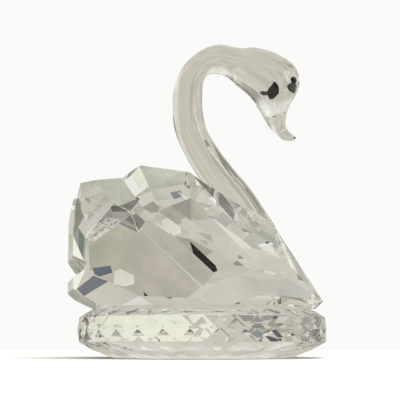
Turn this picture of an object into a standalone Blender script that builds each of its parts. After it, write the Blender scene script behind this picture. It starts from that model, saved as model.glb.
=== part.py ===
# Crystal swan on a round cut glass base.
# Metres, +Z up, +X is the way the swan faces, origin in the middle of the base's underside.
import math

import bmesh
import bpy
from mathutils import Matrix, Vector

MM = 0.001

# Sizes that can be set by themselves, in millimetres
BASE_DIAMETER = 46.0
BASE_HEIGHT = 9.0
BASE_SIDES = 20
FOOT_BEVEL_WIDTH = 6.4
FOOT_BEVEL_HEIGHT = 2.8
TABLE_BEVEL_WIDTH = 3.4
TABLE_BEVEL_HEIGHT = 1.8
BODY_LENGTH = 48.4
BODY_WIDTH = 26.0
BODY_RISE = 25.2
NECK_RISE = 32.0
EYE_DIAMETER = 1.5
EYE_RISE = 0.5
GLUE_GAP = 0.3
EYE_GLUE_GAP = 0.1
NECK_SIDES = 24
STATION_STEPS = 3

# Side view of the body, (forward, up) from the middle of its underside, going round from the
# breast. It is drawn in millimetres, and is stretched to the body sizes above.
BREAST_TIP = (23.8, 1.5)
JOINT_LOW = (14.4, 15.4)
JOINT_TOP = (-0.8, 23.0)
BODY_PROFILE = [
    (19.0, 0.0),
    (22.2, 0.1),
    BREAST_TIP,
    JOINT_LOW,
    JOINT_TOP,
    (-3.2, 24.5),
    (-12.7, 25.2),
    (-16.3, 22.8),
    (-23.7, 21.0),
    (-24.6, 16.5),
    (-24.6, 8.6),
    (-22.0, 6.4),
    (-24.5, 4.8),
    (-24.5, 2.9),
    (-22.9, 1.6),
    (-19.5, 0.0),
]

# The point on the right side where the facets of the wing meet. It is on the body's widest face.
STAR = (-10.9, -13.0, 14.0)

# Facets on the right side: (a point of the facet, heading from forward, tilt above level)
WING_SIDE = (STAR, -90, 0)
BREAST_FACETS = [
    ((0.7, -13.0, 4.3), -80, 11),
    ((6.7, -11.6, 6.0), -72, 22),
    ((7.6, -10.5, 7.8), -56, 33),
    ((23.1, -1.4, 1.8), -45, 28),
]
SHOULDER = ((-7.3, -5.5, 24.8), -81, 38)
REAR_FACETS = [
    ((-22.9, -13.0, 13.9), -163, 0),
    ((-19.0, -13.0, 17.3), -103, 14),
    ((-19.0, -13.0, 17.3), -97, 39),
]
KEEL_FACETS = [
    ((-13.7, -13.0, 1.5), -115, -43),
    ((-13.7, -13.0, 1.5), -93, -60),
    ((0.7, -13.0, 4.3), -66, -28),
    ((23.1, -1.4, 1.8), -49, -30),
]
GROOVE = ((-2.0, 0.0, 24.9), 118, 33)

# The step in the wing: its two faces meet along the line between these points
STEP_LINE = ((-15.9, -6.1, 22.5), (-11.7, -13.0, 14.3))
STEP_FRONT = (-119, 28)
STEP_REAR = (-66, 45)
STEP_REACH = 30.0

# The neck from the middle of its joint with the body, drawn in millimetres and stretched to its rise.
# Each station is (back forward, back up, front forward, front up, half width).
NECK_STATIONS = [
    (2.9, -9.0, 8.4, -5.1, 3.4),
    (-2.3, -1.2, 3.1, 2.8, 3.3),
    (-5.3, 2.7, -0.2, 6.7, 3.1),
    (-8.2, 6.6, -3.0, 10.1, 3.0),
    (-10.8, 11.2, -5.5, 13.8, 2.9),
    (-12.2, 15.0, -6.4, 16.4, 2.8),
    (-12.5, 18.8, -6.8, 19.0, 2.8),
    (-12.4, 22.1, -6.8, 21.7, 2.8),
    (-11.4, 25.5, -6.6, 24.1, 2.8),
    (-9.7, 28.3, -5.7, 25.7, 2.8),
    (-6.6, 30.9, -4.4, 26.2, 2.8),
    (-3.5, 32.0, -3.2, 26.2, 2.8),
    (-0.6, 31.7, -1.9, 25.9, 2.9),
    (1.5, 31.6, -0.6, 25.0, 3.0),
    (4.0, 31.9, 0.6, 23.9, 3.3),
    (8.2, 30.9, 2.2, 22.7, 3.6),
    (11.8, 28.7, 3.5, 21.4, 3.7),
    (12.9, 25.7, 4.4, 20.0, 3.5),
    (12.4, 23.3, 5.2, 18.7, 3.0),
    (10.8, 20.4, 6.1, 17.1, 2.3),
    (10.0, 17.9, 7.0, 15.8, 1.9),
    (10.0, 16.0, 8.3, 14.7, 1.7),
    (11.0, 14.8, 9.8, 13.5, 1.4),
    (12.1, 14.2, 11.7, 13.5, 0.7),
]
EYE_STATION = 16.8
EYE_ANGLE = 58.0


def turned(heading, tilt):
    """Direction that points heading degrees round from forward and tilt degrees above level."""
    level = math.cos(math.radians(tilt))
    return Vector(
        (
            level * math.cos(math.radians(heading)),
            level * math.sin(math.radians(heading)),
            math.sin(math.radians(tilt)),
        )
    )


def glass(name, tint):
    material = bpy.data.materials.new(name)
    material.use_nodes = True
    shader = material.node_tree.nodes["Principled BSDF"]
    shader.inputs["Base Color"].default_value = (*tint, 1.0)
    shader.inputs["Roughness"].default_value = 0.02
    shader.inputs["Metallic"].default_value = 0.0
    shader.inputs["IOR"].default_value = 1.52
    shader.inputs["Transmission Weight"].default_value = 1.0
    return material


def black_bead():
    material = bpy.data.materials.new("black_bead")
    material.use_nodes = True
    shader = material.node_tree.nodes["Principled BSDF"]
    shader.inputs["Base Color"].default_value = (0.012, 0.012, 0.012, 1.0)
    shader.inputs["Roughness"].default_value = 0.15
    shader.inputs["Metallic"].default_value = 0.0
    return material


def link_mesh(name, shape, material, collection):
    """Makes an object from a bmesh drawn in millimetres."""
    bmesh.ops.scale(shape, vec=(MM, MM, MM), verts=shape.verts)
    bmesh.ops.recalc_face_normals(shape, faces=shape.faces)
    mesh = bpy.data.meshes.new(name)
    shape.to_mesh(mesh)
    shape.free()
    if material:
        mesh.materials.append(material)
    made = bpy.data.objects.new(name, mesh)
    collection.objects.link(made)
    return made


def ring(shape, radius, height, first_angle):
    """A ring of BASE_SIDES points round the Z axis."""
    step = 2 * math.pi / BASE_SIDES
    return [
        shape.verts.new(
            (
                radius * math.cos(first_angle + k * step),
                radius * math.sin(first_angle + k * step),
                height,
            )
        )
        for k in range(BASE_SIDES)
    ]


def cut_base(material, collection):
    """The round base: a band of upright facets between two belts of triangles, a flat table and a flat foot."""
    shape = bmesh.new()
    radius = BASE_DIAMETER / 2
    half_step = math.pi / BASE_SIDES
    foot = ring(shape, radius - FOOT_BEVEL_WIDTH, 0.0, half_step)
    low = ring(shape, radius, FOOT_BEVEL_HEIGHT, 0.0)
    high = ring(shape, radius, BASE_HEIGHT - TABLE_BEVEL_HEIGHT, 0.0)
    table = ring(shape, radius - TABLE_BEVEL_WIDTH, BASE_HEIGHT, half_step)
    for k in range(BASE_SIDES):
        after = (k + 1) % BASE_SIDES
        shape.faces.new((low[k], low[after], high[after], high[k]))
        shape.faces.new((low[k], foot[k], low[after]))
        shape.faces.new((foot[k], foot[after], low[after]))
        shape.faces.new((high[k], high[after], table[k]))
        shape.faces.new((table[k], high[after], table[after]))
    shape.faces.new(foot)
    shape.faces.new(table)
    return link_mesh("round_base", shape, material, collection)


def grind(shape, point, normal):
    """Grinds a flat facet: all that lies outside the plane goes, and the cut is closed."""
    geometry = list(shape.verts) + list(shape.edges) + list(shape.faces)
    cut = bmesh.ops.bisect_plane(
        shape, geom=geometry, plane_co=point, plane_no=normal, clear_outer=True, dist=1e-5
    )
    rim = [part for part in cut["geom_cut"] if isinstance(part, bmesh.types.BMEdge)]
    if rim:
        bmesh.ops.holes_fill(shape, edges=rim, sides=0)


def body_scale():
    """How far the body's drawing is stretched forward, sideways and up."""
    forward = [x for x, z in BODY_PROFILE]
    up = [z for x, z in BODY_PROFILE]
    return Vector(
        (
            BODY_LENGTH / (max(forward) - min(forward)),
            BODY_WIDTH / (2 * abs(STAR[1])),
            BODY_RISE / (max(up) - min(up)),
        )
    )


def body_place(forward, up):
    """Where a point of the body's side view lies, in millimetres from the origin."""
    size = body_scale()
    return Vector((forward * size.x, 0, up * size.z + BASE_HEIGHT + GLUE_GAP))


def place_body_shape(shape):
    bmesh.ops.scale(shape, vec=body_scale(), verts=shape.verts)
    bmesh.ops.translate(shape, vec=body_place(0, 0), verts=shape.verts)


def step_cutter(collection):
    """A wedge whose two lower faces are the two faces of the step in the wing."""
    shape = bmesh.new()
    high, low = (Vector(point) for point in STEP_LINE)
    along = (low - high).normalized()
    front, rear = turned(*STEP_FRONT), turned(*STEP_REAR)
    up_front, up_rear = front.cross(along), rear.cross(along)
    if up_front.dot(rear) < 0:
        up_front.negate()
    if up_rear.dot(front) < 0:
        up_rear.negate()
    ends = [high - along * STEP_REACH, low + along * STEP_REACH]
    rings = [
        [
            shape.verts.new(end + way * STEP_REACH)
            for way in (Vector(), up_front, (front + rear).normalized(), up_rear)
        ]
        for end in ends
    ]
    shape.faces.new(rings[0])
    shape.faces.new(rings[1])
    for k in range(4):
        after = (k + 1) % 4
        shape.faces.new((rings[0][k], rings[0][after], rings[1][after], rings[1][k]))
    place_body_shape(shape)
    cutter = link_mesh("wing_step_cutter", shape, None, collection)
    cutter.hide_render = True
    cutter.display_type = "WIRE"
    return cutter


def cut_body(material, collection, cutters):
    """The body and wings: one block, ground flat facet by flat facet, with a groove between the wings."""
    shape = bmesh.new()
    outline = [shape.verts.new((x, 2 * STAR[1], z)) for x, z in BODY_PROFILE]
    side = shape.faces.new(outline)
    pushed = bmesh.ops.extrude_face_region(shape, geom=[side])
    far = [part for part in pushed["geom"] if isinstance(part, bmesh.types.BMVert)]
    bmesh.ops.translate(shape, vec=(0, -4 * STAR[1], 0), verts=far)
    bmesh.ops.recalc_face_normals(shape, faces=shape.faces)
    facets = [WING_SIDE, SHOULDER, GROOVE] + BREAST_FACETS + REAR_FACETS + KEEL_FACETS
    for point, heading, tilt in facets:
        grind(shape, point, turned(heading, tilt))
    place_body_shape(shape)
    body = link_mesh("body_and_wings", shape, material, collection)
    step = body.modifiers.new("wing_step", "BOOLEAN")
    step.operation = "DIFFERENCE"
    step.solver = "EXACT"
    step.object = step_cutter(cutters)
    mirror = body.modifiers.new("left_side", "MIRROR")
    mirror.use_axis = (False, True, False)
    mirror.use_bisect_axis = (False, True, False)
    mirror.use_bisect_flip_axis = (False, True, False)
    mirror.use_clip = True
    mirror.merge_threshold = 0.00001
    return body


def joint_plane():
    """(middle of the glued face, its outward normal) on the body, where the neck sits."""
    top = body_place(*JOINT_TOP)
    low = body_place(*JOINT_LOW)
    along = (low - top).normalized()
    return (top + low) / 2, Vector((-along.z, 0, along.x))


def smooth_between(before, start, end, after, share):
    """Catmull-Rom value a share of the way from start to end."""
    return 0.5 * (
        2 * start
        + (end - before) * share
        + (2 * before - 5 * start + 4 * end - after) * share**2
        + (3 * start - before - 3 * end + after) * share**3
    )


def neck_section(station):
    """(back point, front point, half width) of the neck at a station, which need not be whole."""
    last = len(NECK_STATIONS) - 1
    whole = min(int(station), last - 1)
    picked = [
        NECK_STATIONS[min(max(k, 0), last)] for k in range(whole - 1, whole + 3)
    ]
    size = NECK_RISE / max(drawn[1] for drawn in NECK_STATIONS)
    values = [smooth_between(*numbers, station - whole) * size for numbers in zip(*picked)]
    middle = joint_plane()[0]
    back = middle + Vector((values[0], 0, values[1]))
    front = middle + Vector((values[2], 0, values[3]))
    return back, front, values[4]


def neck_point(station, angle):
    """A point on the neck's surface. Angle 0 is its back, 90 its right side and 180 its front."""
    back, front, half_width = neck_section(station)
    turn = math.radians(angle)
    across = Vector((0, -half_width * math.sin(turn), 0))
    return (back + front) / 2 + (back - front) / 2 * math.cos(turn) + across


def cut_neck(material, collection):
    """The neck, head and bill: one pressed piece, swept through its stations and ground flat at its foot."""
    shape = bmesh.new()
    count = (len(NECK_STATIONS) - 1) * STATION_STEPS + 1
    rings = [
        [
            shape.verts.new(neck_point(k / STATION_STEPS, side * 360 / NECK_SIDES))
            for side in range(NECK_SIDES)
        ]
        for k in range(count)
    ]
    for low, high in zip(rings, rings[1:]):
        for side in range(NECK_SIDES):
            after = (side + 1) % NECK_SIDES
            shape.faces.new((low[side], low[after], high[after], high[side]))
    shape.faces.new(rings[0])
    shape.faces.new(rings[-1])
    bmesh.ops.recalc_face_normals(shape, faces=shape.faces)
    middle, out = joint_plane()
    grind(shape, middle + out * GLUE_GAP, -out)
    neck = link_mesh("neck_and_head", shape, material, collection)
    neck.data.shade_smooth()
    neck.data.set_sharp_from_angle(angle=math.radians(40))
    return neck


def eye_seat(side):
    """(point on the head, outward normal) of one eye. Side is -1 for the right eye and 1 for the left."""
    step = 0.05
    point = neck_point(EYE_STATION, EYE_ANGLE)
    along = neck_point(EYE_STATION + step, EYE_ANGLE) - point
    around = neck_point(EYE_STATION, EYE_ANGLE + step) - point
    out = along.cross(around).normalized()
    if out.y > 0:
        out.negate()
    return Vector((point.x, -side * point.y, point.z)), Vector((out.x, -side * out.y, out.z))


def eye_bead(name, side, material, collection):
    """A domed bead with a flat back, glued on the head."""
    shape = bmesh.new()
    bmesh.ops.create_uvsphere(shape, u_segments=16, v_segments=10, radius=EYE_DIAMETER / 2)
    grind(shape, (0, 0, 0), (0, 0, -1))
    bmesh.ops.scale(shape, vec=(1, 1, 2 * EYE_RISE / EYE_DIAMETER), verts=shape.verts)
    seat, out = eye_seat(side)
    stand_up = out.to_track_quat("Z", "Y").to_matrix().to_4x4()
    place = Matrix.Translation(seat + out * EYE_GLUE_GAP) @ stand_up
    bmesh.ops.transform(shape, matrix=place, verts=shape.verts)
    bead = link_mesh(name, shape, material, collection)
    bead.data.shade_smooth()
    bead.data.set_sharp_from_angle(angle=math.radians(40))
    return bead


def main():
    for old in list(bpy.data.objects):
        bpy.data.objects.remove(old)
    swan = bpy.data.collections.new("crystal_swan")
    cutters = bpy.data.collections.new("cutters")
    bpy.context.scene.collection.children.link(swan)
    bpy.context.scene.collection.children.link(cutters)
    clear = glass("cut_crystal", (0.90, 0.91, 0.88))
    pressed = glass("pressed_glass", (0.88, 0.88, 0.85))
    black = black_bead()
    cut_base(clear, swan)
    cut_body(clear, swan, cutters)
    cut_neck(pressed, swan)
    eye_bead("right_eye", -1, black, swan)
    eye_bead("left_eye", 1, black, swan)


main()
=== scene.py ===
import math

import bmesh
import bpy
from mathutils import Matrix, Vector


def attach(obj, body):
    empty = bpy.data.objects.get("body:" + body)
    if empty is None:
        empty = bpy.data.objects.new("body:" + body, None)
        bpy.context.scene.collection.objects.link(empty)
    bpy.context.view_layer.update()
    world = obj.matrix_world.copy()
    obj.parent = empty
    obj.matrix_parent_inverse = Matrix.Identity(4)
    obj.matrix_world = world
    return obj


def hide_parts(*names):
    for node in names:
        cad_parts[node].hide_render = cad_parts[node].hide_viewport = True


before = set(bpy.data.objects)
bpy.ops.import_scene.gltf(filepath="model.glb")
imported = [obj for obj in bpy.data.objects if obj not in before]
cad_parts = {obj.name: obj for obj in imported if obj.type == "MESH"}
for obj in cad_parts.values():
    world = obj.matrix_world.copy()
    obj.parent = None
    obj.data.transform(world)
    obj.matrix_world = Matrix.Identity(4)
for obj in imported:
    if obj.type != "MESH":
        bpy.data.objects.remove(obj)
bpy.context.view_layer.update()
print("frame loaded:", ", ".join(sorted(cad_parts)))

mm = 0.001
scene = bpy.context.scene
# width of the flat along an edge, and the angle in degrees past which an edge gets one
edgeFlat = {"base": (0.12, 8.0), "body": (0.14, 18.0)}
cutWithin = 1e-5  # how near to a cutting plane a corner counts as lying on it


def linearColour(hexCode):
    # sRGB hex to the linear numbers that a shader takes
    shares = [int(hexCode[k : k + 2], 16) / 255 for k in (1, 3, 5)]
    return [c / 12.92 if c <= 0.04045 else ((c + 0.055) / 1.055) ** 2.4 for c in shares] + [1.0]


def addNode(tree, kind, settings=None, links=None, **properties):
    # one node with its properties, its typed-in socket values and the sockets that feed it
    node = tree.nodes.new(kind)
    for name, value in properties.items():
        setattr(node, name, value)
    for socket, value in (settings or {}).items():
        node.inputs[socket].default_value = value
    for socket, source in (links or {}).items():
        tree.links.new(source, node.inputs[socket])
    return node


def newMaterial(name):
    material = bpy.data.materials.new(name)
    material.use_nodes = True
    material.node_tree.nodes.clear()
    return material, material.node_tree


def pieceFromShape(name, shape, material, smooth=False):
    # a finished object from a bmesh drawn in millimetres, with its place in its mesh
    bmesh.ops.scale(shape, vec=(mm, mm, mm), verts=shape.verts)
    bmesh.ops.recalc_face_normals(shape, faces=shape.faces)
    for face in shape.faces:
        face.smooth = smooth
    mesh = bpy.data.meshes.new(name)
    shape.to_mesh(mesh)
    shape.free()
    mesh.materials.append(material)
    piece = bpy.data.objects.new(name, mesh)
    scene.collection.objects.link(piece)
    return piece


def polishEdges(shape, width, sharperThan):
    # a narrow flat along each ground edge, which catches the light as a fine line
    sharp = [
        edge
        for edge in shape.edges
        if len(edge.link_faces) == 2 and edge.calc_face_angle() > math.radians(sharperThan)
    ]
    bmesh.ops.bevel(
        shape,
        geom=sharp,
        offset=width,
        offset_type="WIDTH",
        segments=1,
        affect="EDGES",
        clamp_overlap=False,
    )


def mergeFlat(shape, within, angle):
    # joins doubled corners, then loose triangles that lie in one facet
    bmesh.ops.remove_doubles(shape, verts=shape.verts, dist=within)
    bmesh.ops.dissolve_limit(shape, angle_limit=math.radians(angle), verts=shape.verts, edges=shape.edges)


def keepHalf(shape, point, away):
    # cuts a shape along a plane, drops what lies on its away side and closes the cut
    cut = bmesh.ops.bisect_plane(
        shape,
        geom=list(shape.verts) + list(shape.edges) + list(shape.faces),
        plane_co=point,
        plane_no=away,
        clear_outer=True,
        dist=cutWithin,
    )
    rim = [part for part in cut["geom_cut"] if isinstance(part, bmesh.types.BMEdge)]
    bmesh.ops.holes_fill(shape, edges=rim, sides=0)


def keepPiece(piece, node):
    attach(piece, "root")
    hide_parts(node)
    print("piece:", piece.name, "for", node, "with", len(piece.data.polygons), "faces")


glassLooks = {
    "cutTint": "#fdfdfb",  # a breath of green-grey, as thick crystal has
    "cutIor": 1.54,
    "cutRoughness": 0.0,
    "pressedTint": "#f9f8f5",
    "pressedIor": 1.52,
    "pressedRoughness": 0.012,  # fire polish is a little softer than a ground facet
    "beadColour": "#050505",
    "beadIor": 1.5,
    "beadRoughness": (0.084, 0.18),  # from its glossiest to its dullest spots
    "beadCloud": 0.4,  # width of a cloudy spot on a 1.5 mm bead
}


def clearGlass(name, tint, ior, roughness):
    material, tree = newMaterial(name)
    shader = addNode(
        tree,
        "ShaderNodeBsdfPrincipled",
        {
            "Base Color": linearColour(tint),
            "Metallic": 0.0,
            "Roughness": roughness,
            "IOR": ior,
            "Transmission Weight": 1.0,
        },
    )
    addNode(tree, "ShaderNodeOutputMaterial", links={"Surface": shader.outputs[0]})
    return material


# Crystal glass, facets ground flat and polished: mirror clear, each facet shows another part of the room
cutCrystal = clearGlass(
    "crystalGroundAndPolished", glassLooks["cutTint"], glassLooks["cutIor"], glassLooks["cutRoughness"]
)
# Clear glass pressed in a mould and fire polished: no facets, soft bright and dark bands along the neck
pressedGlass = clearGlass(
    "glassPressedAndFirePolished",
    glassLooks["pressedTint"],
    glassLooks["pressedIor"],
    glassLooks["pressedRoughness"],
)


def blackBeadMaterial():
    # Moulded black bead: nearly black with one small highlight, a shade uneven where it was pressed
    material, tree = newMaterial("beadMouldedBlack")
    place = addNode(tree, "ShaderNodeTexCoord")
    grain = addNode(
        tree,
        "ShaderNodeTexNoise",
        {"Scale": 1 / (glassLooks["beadCloud"] * mm), "Detail": 2.0},
        {"Vector": place.outputs["Object"]},
    )
    glossy, dull = glassLooks["beadRoughness"]
    polish = addNode(
        tree, "ShaderNodeMapRange", {"To Min": glossy, "To Max": dull}, {"Value": grain.outputs["Fac"]}
    )
    shader = addNode(
        tree,
        "ShaderNodeBsdfPrincipled",
        {
            "Base Color": linearColour(glassLooks["beadColour"]),
            "Metallic": 0.0,
            "IOR": glassLooks["beadIor"],
        },
        {"Roughness": polish.outputs["Result"]},
    )
    addNode(tree, "ShaderNodeOutputMaterial", links={"Surface": shader.outputs[0]})
    return material


blackBead = blackBeadMaterial()
print("materials made")


roundBase = {
    "diameter": 46.0,
    "sides": 32,
    # heights of the rings of corners, and how far each lies inside the widest one
    "rings": [(0.0, 6.4), (1.4, 2.8), (2.8, 0.3), (5.0, 0.0), (7.2, 0.3), (8.2, 1.7), (9.0, 3.4)],
    "mergeWithin": 1e-4,
    "flatWithin": 0.5,  # degrees
}


def baseTree():
    # rings of corners, every other one turned half a side, and the tight skin round them,
    # which is a belt of triangles between each two rings
    tree = bpy.data.node_groups.new("groundDisc", "GeometryNodeTree")
    labels = ["Diameter", "Sides", "Material"]
    kinds = ["NodeSocketFloat", "NodeSocketInt", "NodeSocketMaterial"]
    for k in range(len(roundBase["rings"])):
        labels += [f"Height {k}", f"Inset {k}"]
        kinds += ["NodeSocketFloat", "NodeSocketFloat"]
    tree.interface.new_socket("Geometry", in_out="INPUT", socket_type="NodeSocketGeometry")
    for label, kind in zip(labels, kinds):
        tree.interface.new_socket(label, in_out="INPUT", socket_type=kind)
    tree.interface.new_socket("Geometry", in_out="OUTPUT", socket_type="NodeSocketGeometry")
    given = addNode(tree, "NodeGroupInput").outputs
    radius = addNode(
        tree, "ShaderNodeMath", {1: 0.5}, {0: given["Diameter"]}, operation="MULTIPLY"
    ).outputs[0]
    halfStep = addNode(
        tree, "ShaderNodeMath", {0: math.pi}, {1: given["Sides"]}, operation="DIVIDE"
    ).outputs[0]
    joined = addNode(tree, "GeometryNodeJoinGeometry")
    for k in range(len(roundBase["rings"])):
        ringRadius = addNode(
            tree, "ShaderNodeMath", links={0: radius, 1: given[f"Inset {k}"]}, operation="SUBTRACT"
        ).outputs[0]
        circle = addNode(
            tree, "GeometryNodeMeshCircle", links={"Vertices": given["Sides"], "Radius": ringRadius}
        )
        lift = addNode(tree, "ShaderNodeCombineXYZ", links={"Z": given[f"Height {k}"]})
        placed = addNode(
            tree,
            "GeometryNodeTransform",
            links={"Geometry": circle.outputs[0], "Translation": lift.outputs[0]},
        )
        if k % 2:
            turn = addNode(tree, "ShaderNodeCombineXYZ", links={"Z": halfStep})
            tree.links.new(turn.outputs[0], placed.inputs["Rotation"])
        tree.links.new(placed.outputs[0], joined.inputs[0])
    skin = addNode(tree, "GeometryNodeConvexHull", links={"Geometry": joined.outputs[0]})
    real = addNode(tree, "GeometryNodeRealizeInstances", links={"Geometry": skin.outputs[0]})
    dressed = addNode(
        tree,
        "GeometryNodeSetMaterial",
        links={"Geometry": real.outputs[0], "Material": given["Material"]},
    )
    addNode(tree, "NodeGroupOutput", links={0: dressed.outputs[0]})
    return tree


def plainMesh(name, tree, values):
    # runs a Geometry Nodes tree once and keeps its result as a plain mesh
    holder = bpy.data.objects.new(name, bpy.data.meshes.new(name))
    scene.collection.objects.link(holder)
    modifier = holder.modifiers.new("shape", "NODES")
    modifier.node_group = tree
    sockets = {s.name: s.identifier for s in tree.interface.items_tree if s.in_out == "INPUT"}
    for label, value in values.items():
        modifier[sockets[label]] = value
    graph = bpy.context.evaluated_depsgraph_get()
    mesh = bpy.data.meshes.new_from_object(holder.evaluated_get(graph), depsgraph=graph)
    bpy.data.objects.remove(holder)
    return mesh


def makeRoundBase():
    values = {"Diameter": roundBase["diameter"], "Sides": roundBase["sides"], "Material": cutCrystal}
    for k, (height, inset) in enumerate(roundBase["rings"]):
        values[f"Height {k}"] = height
        values[f"Inset {k}"] = inset
    mesh = plainMesh("groundDisc", baseTree(), values)
    shape = bmesh.new()
    shape.from_mesh(mesh)
    mergeFlat(shape, roundBase["mergeWithin"], roundBase["flatWithin"])
    polishEdges(shape, *edgeFlat["base"])
    piece = pieceFromShape("baseDiscCut", shape, cutCrystal)
    keepPiece(piece, "round_base")


makeRoundBase()


bodyBlock = {
    "seat": 9.0,  # the base's table, which the body stands on
    "cadGap": 0.3,  # the solids stand this far apart
    "glueGap": 0.02,  # and the glass this far, so that no air shows under the body
    "rise": 25.2,
    "mergeWithin": 0.002,
    "flatWithin": 0.6,  # degrees
}


def seatBody(height):
    # stretches the body down onto its seat, with its top left where it is
    top = bodyBlock["seat"] + bodyBlock["cadGap"] + bodyBlock["rise"]
    stretch = (bodyBlock["rise"] + bodyBlock["cadGap"] - bodyBlock["glueGap"]) / bodyBlock["rise"]
    return top - (top - height) * stretch


def makeBody():
    shape = bmesh.new()
    shape.from_mesh(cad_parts["body_and_wings"].data)
    bmesh.ops.scale(shape, vec=(1 / mm,) * 3, verts=shape.verts)
    mergeFlat(shape, bodyBlock["mergeWithin"], bodyBlock["flatWithin"])
    for corner in shape.verts:
        corner.co.z = seatBody(corner.co.z)
    # a new mesh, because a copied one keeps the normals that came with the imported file
    plain = bmesh.new()
    corners = [plain.verts.new(corner.co) for corner in shape.verts]
    shape.verts.index_update()
    for face in shape.faces:
        plain.faces.new([corners[corner.index] for corner in face.verts])
    shape.free()
    polishEdges(plain, *edgeFlat["body"])
    piece = pieceFromShape("bodyAndWingsCut", plain, cutCrystal)
    keepPiece(piece, "body_and_wings")


makeBody()


neckPiece = {
    "jointLow": (14.4, 15.4),  # ends of the glued face on the body, (forward, up) from its seat
    "jointTop": (-0.8, 23.0),
    "rise": 32.0,
    "glueGap": 0.02,
    "sides": 64,
    "steps": 8,  # rings from one station to the next
    "sharpFrom": 40.0,  # degrees, past which an edge stays sharp
    # from the middle of the joint: (back forward, back up, front forward, front up, half width)
    "stations": [
        (2.9, -9.0, 8.4, -5.1, 3.4),
        (-2.3, -1.2, 3.1, 2.8, 3.3),
        (-5.3, 2.7, -0.2, 6.7, 3.1),
        (-8.2, 6.6, -3.0, 10.1, 3.0),
        (-10.8, 11.2, -5.5, 13.8, 2.9),
        (-12.2, 15.0, -6.4, 16.4, 2.8),
        (-12.5, 18.8, -6.8, 19.0, 2.8),
        (-12.4, 22.1, -6.8, 21.7, 2.8),
        (-11.4, 25.5, -6.6, 24.1, 2.8),
        (-9.7, 28.3, -5.7, 25.7, 2.8),
        (-6.6, 30.9, -4.4, 26.2, 2.8),
        (-3.5, 32.0, -3.2, 26.2, 2.8),
        (-0.6, 31.7, -1.9, 25.9, 2.9),
        (1.5, 31.6, -0.6, 25.0, 3.0),
        (4.0, 31.9, 0.6, 23.9, 3.3),
        (8.2, 30.9, 2.2, 22.7, 3.6),
        (11.8, 28.7, 3.5, 21.4, 3.7),
        (12.9, 25.7, 4.4, 20.0, 3.5),
        (12.4, 23.3, 5.2, 18.7, 3.0),
        (10.8, 20.4, 6.1, 17.1, 2.3),
        (10.0, 17.9, 7.0, 15.8, 1.9),
        (10.0, 16.0, 8.3, 14.7, 1.7),
        (11.0, 14.8, 9.8, 13.5, 1.4),
        (12.1, 14.2, 11.7, 13.5, 0.7),
    ],
}


def jointPoint(drawn):
    # where a point of the body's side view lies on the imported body
    return Vector((drawn[0], 0, drawn[1] + bodyBlock["seat"] + bodyBlock["cadGap"]))


def smoothBetween(before, start, end, after, share):
    # Catmull-Rom value a share of the way from start to end
    return 0.5 * (
        2 * start
        + (end - before) * share
        + (2 * before - 5 * start + 4 * end - after) * share**2
        + (3 * start - before - 3 * end + after) * share**3
    )


def neckSection(station):
    # back point, front point and half width at a station, which need not be whole
    drawn = neckPiece["stations"]
    last = len(drawn) - 1
    whole = min(int(station), last - 1)
    near = [drawn[min(max(k, 0), last)] for k in range(whole - 1, whole + 3)]
    size = neckPiece["rise"] / max(row[1] for row in drawn)
    values = [smoothBetween(*numbers, station - whole) * size for numbers in zip(*near)]
    middle = (jointPoint(neckPiece["jointTop"]) + jointPoint(neckPiece["jointLow"])) / 2
    middle.z = seatBody(middle.z)
    back = middle + Vector((values[0], 0, values[1]))
    front = middle + Vector((values[2], 0, values[3]))
    return back, front, values[4]


def neckPoint(station, angle):
    # a point on the skin: 0 is the back, 90 the right side, 180 the front
    back, front, halfWidth = neckSection(station)
    turn = math.radians(angle)
    across = Vector((0, -halfWidth * math.sin(turn), 0))
    return (back + front) / 2 + (back - front) / 2 * math.cos(turn) + across


def makeNeck():
    shape = bmesh.new()
    sides = neckPiece["sides"]
    count = (len(neckPiece["stations"]) - 1) * neckPiece["steps"] + 1
    angles = [side * 360 / sides for side in range(sides)]
    rings = [
        [shape.verts.new(neckPoint(k / neckPiece["steps"], angle)) for angle in angles]
        for k in range(count)
    ]
    for low, high in zip(rings, rings[1:]):
        for side in range(sides):
            after = (side + 1) % sides
            shape.faces.new((low[side], low[after], high[after], high[side]))
    shape.faces.new(rings[0])
    shape.faces.new(rings[-1])
    bmesh.ops.recalc_face_normals(shape, faces=shape.faces)
    # the foot is ground flat just above the glued face of the seated body
    low, top = (
        Vector((p.x, 0, seatBody(p.z)))
        for p in (jointPoint(neckPiece["jointLow"]), jointPoint(neckPiece["jointTop"]))
    )
    along = (low - top).normalized()
    out = Vector((-along.z, 0, along.x))
    keepHalf(shape, top + out * neckPiece["glueGap"], -out)
    piece = pieceFromShape("neckAndHeadPressed", shape, pressedGlass, smooth=True)
    piece.data.set_sharp_from_angle(angle=math.radians(neckPiece["sharpFrom"]))
    keepPiece(piece, "neck_and_head")


makeNeck()


eyeBead = {
    "diameter": 1.5,
    "rise": 0.5,
    "station": 16.8,  # how far along the neck's stations
    "angle": 58.0,  # round from the back of the head
    "glueGap": 0.02,
    "rings": 24,
    "step": 0.05,  # how far to the points beside the seat that give its slope
    "sharpFrom": 50.0,  # degrees
}


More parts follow.
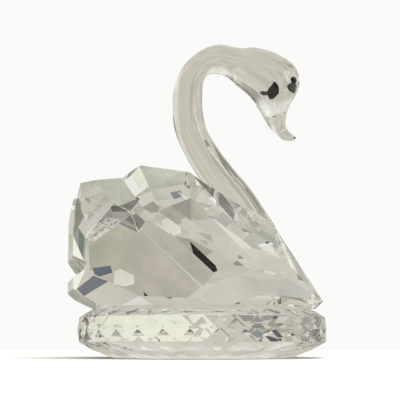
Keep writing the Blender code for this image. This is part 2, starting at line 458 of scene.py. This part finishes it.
def makeEye(name, node, side):
    # half a ball, flattened, seated square on the head: side is -1 for the right and 1 for the left
    step = eyeBead["step"]
    point = neckPoint(eyeBead["station"], eyeBead["angle"])
    along = neckPoint(eyeBead["station"] + step, eyeBead["angle"]) - point
    around = neckPoint(eyeBead["station"], eyeBead["angle"] + step) - point
    out = along.cross(around).normalized()
    if out.y > 0:
        out.negate()
    seat = Vector((point.x, -side * point.y, point.z))
    out = Vector((out.x, -side * out.y, out.z))
    shape = bmesh.new()
    radius = eyeBead["diameter"] / 2
    bmesh.ops.create_uvsphere(
        shape, u_segments=2 * eyeBead["rings"], v_segments=eyeBead["rings"], radius=radius
    )
    keepHalf(shape, (0, 0, 0), (0, 0, -1))
    bmesh.ops.scale(shape, vec=(1, 1, eyeBead["rise"] / radius), verts=shape.verts)
    place = Matrix.Translation(seat + out * eyeBead["glueGap"])
    standUp = out.to_track_quat("Z", "Y").to_matrix().to_4x4()
    bmesh.ops.transform(shape, matrix=place @ standUp, verts=shape.verts)
    piece = pieceFromShape(name, shape, blackBead, smooth=True)
    piece.data.set_sharp_from_angle(angle=math.radians(eyeBead["sharpFrom"]))
    keepPiece(piece, node)


makeEye("rightEyeBead", "right_eye", -1)
makeEye("leftEyeBead", "left_eye", 1)


cameraPlace = {
    "azimuth": -12.0,  # round from the swan's right side, towards its tail
    "distance": 167.0,
    "height": 2.5,
    "aim": (-0.4, 0.0, 29.5),
    "lens": 80.0,
    "sensor": 36.0,
    "clip": (5.0, 20000.0),
}


studio = {
    "backdrop": "#fafaf8",  # what the camera sees behind the swan
    "wall": "#c9c5ba",  # what the glass shows of the room, a soft grey beige
    "ceiling": "#eeeee8",
    "brightSide": "#eef0e4",
    "dimSide": "#acaba3",
    "behindCamera": "#77766f",
    "floorSeen": "#f6f5f2",
    # the floor that the glass shows glows in this colour, painted light in place of being lit
    "floorInGlass": "#c6c3b8",
    "roomBlend": {  # where each part of the room begins and is full, as shares of its own way
        "ceiling": (0.5, 0.85),
        "brightSide": (0.55, 0.9),
        "dimSide": (-0.55, -0.9),
        "behindCamera": (0.35, 0.75),
    },
    "floorSize": 6000.0,
    "floorGap": 0.03,  # keeps the floor from lying in the same plane as the foot
    "floorFade": (60.0, 260.0),  # from this far to this far out the floor passes into the backdrop
    # soft lighter and dimmer patches, which the glass draws out into streaks: in the room they are its
    # light, on the floor and the cards they are painted light
    "roomPatches": {"scale": 7.0, "from": 0.84, "to": 1.2},
    "floorPaintedLightPatches": {"scale": 1 / (60 * mm), "from": 0.88, "to": 1.16},
    "cardPaintedLightPatches": {"scale": 1 / (9 * mm), "from": 0.9, "to": 1.1},
    # the first lights the floor and the beads, the second is what the glass mirrors
    "topBox": {"place": (150, -150, 900), "size": (700, 700), "strength": 12},
    "frontBox": {"place": (700, -700, 500), "size": (220, 360), "strength": 9},
    "boxAim": (0, 0, 30),
}
# Flat glowing cards stand round the swan or lie on the floor, and only the glass sees them: each one is a
# painted reflection or painted shade that darkens, lifts or tints a facet or a stretch of the neck.
paintedLightAndShadeColours = {
    "black": "#0c0b08",
    "charcoal": "#33332c",
    "grey": "#6f6e66",
    "midGrey": "#96948a",
    "slate": "#6a7079",
    "darkSlate": "#4c4d56",
    "midSlate": "#878d90",
    "teal": "#516157",
    "greenGrey": "#8b958a",
    "brown": "#655d4c",
    "dimGrey": "#858379",
    "dimBeige": "#a9a799",
    "dimGreen": "#b2b2a0",
    "beige": "#b9b4a8",
    "pale": "#dedcd1",
    "cream": "#eaecda",
    "shade": "#b0b0a2",
}
# (name, how it faces, how far out, paper, corners), in millimetres as seen from the camera's side:
# behind has corners (across, up), beside has (away, up) and level has (across, away)
cards = [
    (
        "blackBehindHead", "behind", 20, "black",
        [(15.1, 57.9), (16.6, 58.3), (18.2, 59.1), (19.4, 60.1), (18.9, 60.5), (17.1, 59.7), (15.2, 58.6)],
    ),
    (
        "charcoalBehindHead", "behind", 12, "charcoal",
        [(15.3, 55.6), (15.8, 55.3), (16.4, 56), (17.3, 57.3), (17.6, 58.4), (16.4, 58.3), (15.5, 57)],
    ),
    (
        "blackBehindWing", "behind", 60, "black",
        [(-16.3, 15.1), (-15.4, 12.1), (-10.2, 7.5), (-9.2, 8), (-9.7, 9.3)],
    ),
    (
        "charcoalBehindWingTop", "behind", 60, "charcoal",
        [(58.5, 74.5), (62.8, 81.5), (63.2, 84.5), (60.5, 83)],
    ),
    (
        "midGreyBehindWingTop", "behind", 140, "midGrey",
        [(113, 140.5), (130, 163), (120.5, 166), (111.5, 147)],
    ),
    ("greyBehindWing", "behind", 60, "grey", [(3, 12.2), (4.8, 8), (6.5, 10.5), (4, 12.6)]),
    ("slateBehindShoulder", "behind", 30, "slate", [(-17, 11.3), (-16, 9.8), (-14.1, 10.6), (-14.6, 12)]),
    (
        "creamBesideShoulder", "beside", 60, "cream",
        [(1.3, 63), (1.4, 56.9), (2.2, 55.8), (6.4, 58.9), (5.8, 64.7)],
    ),
    ("slateBehindTail", "behind", 40, "slate", [(-18.5, 38), (-17, 36), (-11.2, 40), (-14.5, 41.6)]),
    (
        "slateBehindTailTop", "behind", 90, "slate",
        [(-32.5, 23.3), (-31.9, 21.6), (-30.5, 21), (-26.9, 22.1), (-27.5, 24.1)],
    ),
    (
        "paleBehindTail", "behind", 60, "pale",
        [(-23.5, 20), (-23.5, 17), (-21, 16.3), (-18.5, 17), (-18.7, 19), (-22, 20.7)],
    ),
    ("tealBehindRear", "behind", 60, "teal", [(31.2, 19.7), (32.9, 17), (34.1, 22.5), (31.4, 25)]),
    ("greenGreyBehindRear", "behind", 90, "greenGrey", [(54, 22.5), (59.2, 15), (60, 21.5), (56.5, 25.2)]),
    ("paleBehindNeckFoot", "behind", 30, "pale", [(-15.6, 11.8), (-7.8, 5.1), (-4.9, 5.9), (-8.8, 8.2)]),
    ("midGreyBehindNeckFoot", "behind", 61, "midGrey", [(-41, 0.2), (-29, 0.2), (-29, 8.5), (-41, 8.5)]),
    ("brownBehindBreast", "behind", 60, "brown", [(-38.8, 16.2), (-35.4, 16.2), (-35.4, 18), (-38.8, 18)]),
    (
        "darkSlateLeftOfBreast", "beside", -60, "darkSlate",
        [(-12.8, 62), (-11.4, 58.5), (-10.2, 59.7), (-12.4, 63)],
    ),
    (
        "midGreyBehindBreast", "behind", 20, "midGrey",
        [(7, 11.1), (7.5, 10.4), (9.1, 10.4), (8.8, 11.4), (7.2, 12.4)],
    ),
    (
        "dimBehindSide", "behind", 200, "dimGreen",
        [(-48, 42), (-47, 31.6), (-32, 31.6), (-32.8, 48), (-36, 50.3)],
    ),
    (
        "beigeBehindSide", "behind", 201, "beige",
        [(-45, 28.5), (-19.5, 6), (-2.6, 25.2), (-26.5, 48), (-32.2, 48.7)],
    ),
    (
        "midGreyBehindBase", "behind", 60, "midGrey",
        [(-9.5, 2.2), (-3.7, 2.6), (-3, 3.5), (-5, 5.5), (-9.7, 3)],
    ),
    (
        "darkSlateBehindBase", "behind", 60, "darkSlate",
        [(-12.2, 7.2), (-10.6, 5.5), (-9, 5.5), (-8.5, 6.4), (-11.2, 7.4)],
    ),
    ("midSlateBehindBase", "behind", 200, "midSlate", [(-48.8, 8), (-45, 5.2), (-43.5, 8), (-46, 9.8)]),
    (
        "creamBehindBase", "behind", 61, "cream",
        [(-0.9, 5.2), (2.3, 0.4), (62, 0.2), (62, 8.5), (11.4, 7.4), (1.3, 9.6)],
    ),
    ("dimBehindBase", "behind", 61, "dimGreen", [(-28, 1), (-16.1, 3.5), (-16.9, 7.9), (-28, 8.5)]),
    (
        "midGreyBesideBase", "beside", -100, "midGrey",
        [(267, 8.4), (278, 8.5), (282, 10), (279, 14), (269, 10.6)],
    ),
    ("greyBesideFoot", "level", 0, "grey", [(-34.6, 2.3), (-28.9, 3.3), (-28.5, 4.8), (-34.9, 2.6)]),
    (
        "charcoalBesideFoot", "level", 0, "charcoal",
        [(-23.8, 8.4), (-23.7, 4.3), (-20.5, 3.2), (-16.5, 7), (-18.2, 9.6)],
    ),
    (
        "greyOnFloor", "level", 0, "grey",
        [(-62, 60), (-50, 42), (-33, 45), (-33, 60), (-40.5, 60), (-40.5, 80), (-44, 103), (-62, 103)],
    ),
    (
        "dimBeigeOnFloorNear", "level", 0, "dimBeige",
        [(-32.5, 45), (-30, 45), (-30, 80), (-40, 80), (-40, 60.5), (-32.5, 60.5)],
    ),
    ("dimGreyOnFloorLeft", "level", 0, "dimGrey", [(-95, 60), (-62.5, 60), (-62.5, 230), (-95, 230)]),
    (
        "dimBeigeOnFloorFar", "level", 0, "dimBeige",
        [(-62, 104), (-41, 104), (-40, 132), (-30, 132), (-31, 170), (-50, 215), (-62, 230)],
    ),
]
paintedShadowUnderFoot = {"radius": 16.8, "sides": 48, "paper": "shade"}  # a disc of painted shadow under the foot, where it stands in its own shade


def viewPoint(across, away, up):
    # a point by where it lies from the camera's side, in millimetres
    turn = math.radians(cameraPlace["azimuth"])
    right = Vector((math.cos(turn), math.sin(turn), 0))
    look = Vector((-math.sin(turn), math.cos(turn), 0))
    return right * across + look * away + Vector((0, 0, up))


def patchyStrength(tree, place, patches):
    # a strength that rises and falls softly from place to place
    noise = addNode(
        tree, "ShaderNodeTexNoise", {"Scale": patches["scale"], "Detail": 2.0}, {"Vector": place}
    )
    strength = addNode(
        tree,
        "ShaderNodeMapRange",
        {"From Min": 0.3, "From Max": 0.7, "To Min": patches["from"], "To Max": patches["to"]},
        {"Value": noise.outputs["Fac"]},
    )
    return strength.outputs["Result"]


def glowMaterial(name, colour, patches):
    # paper or floor as the glass shows it: it glows though it is no lamp, evenly coloured, with painted
    # light brighter in some patches and dimmer in others
    material, tree = newMaterial(name)
    place = addNode(tree, "ShaderNodeTexCoord").outputs["Object"]
    shader = addNode(
        tree,
        "ShaderNodeEmission",
        {"Color": linearColour(colour)},
        {"Strength": patchyStrength(tree, place, patches)},
    )
    addNode(tree, "ShaderNodeOutputMaterial", links={"Surface": shader.outputs[0]})
    return material


def makeCard(name, way, out, corners, colour):
    # one flat glowing card that neither the camera nor the floor sees, a painted reflection or painted
    # shade in the glass
    shape = bmesh.new()
    for first, second in corners:
        if way == "behind":
            corner = viewPoint(first, out, second)
        elif way == "beside":
            corner = viewPoint(out, first, second)
        else:
            corner = viewPoint(first, second, out - studio["floorGap"] / 2)
        shape.verts.new(corner)
    shape.faces.new(shape.verts)
    paper = glowMaterial("paintedLight-" + name, colour, studio["cardPaintedLightPatches"])
    card = pieceFromShape("card-" + name, shape, paper)
    card.visible_camera = False
    card.visible_diffuse = False
    card.visible_shadow = False
    return card


def makeWorld():
    # a plain room: pale ceiling, grey beige wall, lighter towards the swan's front and dimmer behind it
    world = bpy.data.worlds.new("softRoom")
    scene.world = world
    world.use_nodes = True
    tree = world.node_tree
    tree.nodes.clear()
    way = addNode(tree, "ShaderNodeTexCoord")
    split = addNode(tree, "ShaderNodeSeparateXYZ", links={"Vector": way.outputs["Generated"]})
    turn = math.radians(cameraPlace["azimuth"])
    toCamera = addNode(
        tree,
        "ShaderNodeVectorMath",
        {1: (math.sin(turn), -math.cos(turn), 0.1)},  # from the swan to the camera, a little up
        {0: way.outputs["Generated"]},
        operation="DOT_PRODUCT",
    )
    # later ones cover earlier ones
    parts = (
        ("brightSide", split.outputs["X"]),
        ("dimSide", split.outputs["X"]),
        ("behindCamera", toCamera.outputs["Value"]),
        ("ceiling", split.outputs["Z"]),
    )
    source = None
    for name, along in parts:
        begins, full = studio["roomBlend"][name]
        share = addNode(
            tree,
            "ShaderNodeMapRange",
            {"From Min": begins, "From Max": full},
            {"Value": along},
            interpolation_type="SMOOTHSTEP",
        )
        mixed = addNode(
            tree,
            "ShaderNodeMix",
            {7: linearColour(studio[name])},
            {"Factor": share.outputs["Result"]},
            data_type="RGBA",
        )
        if source is None:
            mixed.inputs[6].default_value = linearColour(studio["wall"])
        else:
            tree.links.new(source, mixed.inputs[6])
        source = mixed.outputs[2]
    strength = patchyStrength(tree, way.outputs["Generated"], studio["roomPatches"])
    room = addNode(tree, "ShaderNodeBackground", links={"Color": source, "Strength": strength})
    backdrop = linearColour(studio["backdrop"])
    plain = addNode(tree, "ShaderNodeBackground", {"Color": backdrop, "Strength": 1.0})
    seen = addNode(tree, "ShaderNodeLightPath")
    both = addNode(
        tree,
        "ShaderNodeMixShader",
        links={0: seen.outputs["Is Camera Ray"], 1: room.outputs[0], 2: plain.outputs[0]},
    )
    addNode(tree, "ShaderNodeOutputWorld", links={"Surface": both.outputs[0]})


def paleFloorMaterial():
    # matt white paint under the swan that passes into the backdrop, so that no horizon shows
    material, tree = newMaterial("floorPaintedPale")
    place = addNode(tree, "ShaderNodeTexCoord")
    away = addNode(
        tree, "ShaderNodeVectorMath", links={0: place.outputs["Object"]}, operation="LENGTH"
    )
    near, far = (reach * mm for reach in studio["floorFade"])
    fade = addNode(
        tree,
        "ShaderNodeMapRange",
        {"From Min": near, "From Max": far},
        {"Value": away.outputs["Value"]},
        interpolation_type="SMOOTHSTEP",
    )
    paint = addNode(
        tree,
        "ShaderNodeBsdfPrincipled",
        {"Base Color": linearColour(studio["floorSeen"]), "Roughness": 0.9, "Specular IOR Level": 0.0},
    )
    glow = addNode(
        tree, "ShaderNodeEmission", {"Color": linearColour(studio["backdrop"]), "Strength": 1.0}
    )
    both = addNode(
        tree,
        "ShaderNodeMixShader",
        links={0: fade.outputs["Result"], 1: paint.outputs[0], 2: glow.outputs[0]},
    )
    addNode(tree, "ShaderNodeOutputMaterial", links={"Surface": both.outputs[0]})
    return material


def makeFloor(name, material, drop):
    shape = bmesh.new()
    half = studio["floorSize"] / 2
    corners = ((-half, -half), (half, -half), (half, half), (-half, half))
    shape.faces.new([shape.verts.new((x, y, -drop)) for x, y in corners])
    floor = pieceFromShape(name, shape, material)
    return floor


def makeFloors():
    # one floor for the camera, and one just below it for the glass, which glows with painted light in
    # place of being lit
    paleFloor = makeFloor("floorPaintedPale", paleFloorMaterial(), studio["floorGap"])
    paleFloor.visible_transmission = False
    paleFloor.visible_glossy = False
    glow = glowMaterial("floorSeenInGlass", studio["floorInGlass"], studio["floorPaintedLightPatches"])
    glassFloor = makeFloor("floorSeenInGlass", glow, 2 * studio["floorGap"])
    glassFloor.visible_camera = False
    glassFloor.visible_diffuse = False
    glassFloor.visible_shadow = False


def makeCards():
    for name, way, out, paper, corners in cards:
        makeCard(name, way, out, corners, paintedLightAndShadeColours[paper])
    # a disc of painted shadow under the foot, seen only through the glass
    radius, sides = paintedShadowUnderFoot["radius"], paintedShadowUnderFoot["sides"]
    turns = [k * 2 * math.pi / sides for k in range(sides)]
    rim = [(radius * math.cos(turn), radius * math.sin(turn)) for turn in turns]
    makeCard("paintedShadowUnderFoot", "level", 0, rim, paintedLightAndShadeColours[paintedShadowUnderFoot["paper"]])
    print("cards placed:", len(cards) + 1)


def softBox(name, box):
    # an even rectangle of light, seen as a highlight but not through the glass
    wide, high = (size * mm for size in box["size"])
    place = Vector(box["place"])
    data = bpy.data.lights.new(name, "AREA")
    data.shape = "RECTANGLE"
    data.size = wide
    data.size_y = high
    data.energy = box["strength"] * wide * high
    light = bpy.data.objects.new(name, data)
    scene.collection.objects.link(light)
    light.location = place * mm
    light.rotation_euler = (place - Vector(studio["boxAim"])).to_track_quat("Z", "Y").to_euler()
    light.visible_camera = False
    light.visible_transmission = False
    return light


makeWorld()
makeFloors()
makeCards()
softBox("softBoxTop", studio["topBox"]).visible_glossy = False
softBox("softBoxFront", studio["frontBox"])
print("studio lit")


def makeCamera():
    # just above the foot's level, at the swan's right and a little behind it
    data = bpy.data.cameras.new("photoView")
    camera = bpy.data.objects.new("photoView", data)
    scene.collection.objects.link(camera)
    turn = math.radians(cameraPlace["azimuth"])
    place = Vector(
        (
            cameraPlace["distance"] * math.sin(turn),
            -cameraPlace["distance"] * math.cos(turn),
            cameraPlace["height"],
        )
    )
    camera.location = place * mm
    camera.rotation_euler = (place - Vector(cameraPlace["aim"])).to_track_quat("Z", "Y").to_euler()
    data.lens = cameraPlace["lens"]
    data.sensor_width = cameraPlace["sensor"]
    data.clip_start, data.clip_end = (reach * mm for reach in cameraPlace["clip"])
    scene.camera = camera


makeCamera()
print("camera placed")
scene.view_settings.view_transform = "Standard"
scene.view_settings.look = "None"
facetsPassed = 32  # light meets many facets before it leaves the glass
scene.cycles.max_bounces = facetsPassed
scene.cycles.transmission_bounces = facetsPassed
scene.cycles.glossy_bounces = facetsPassed // 2
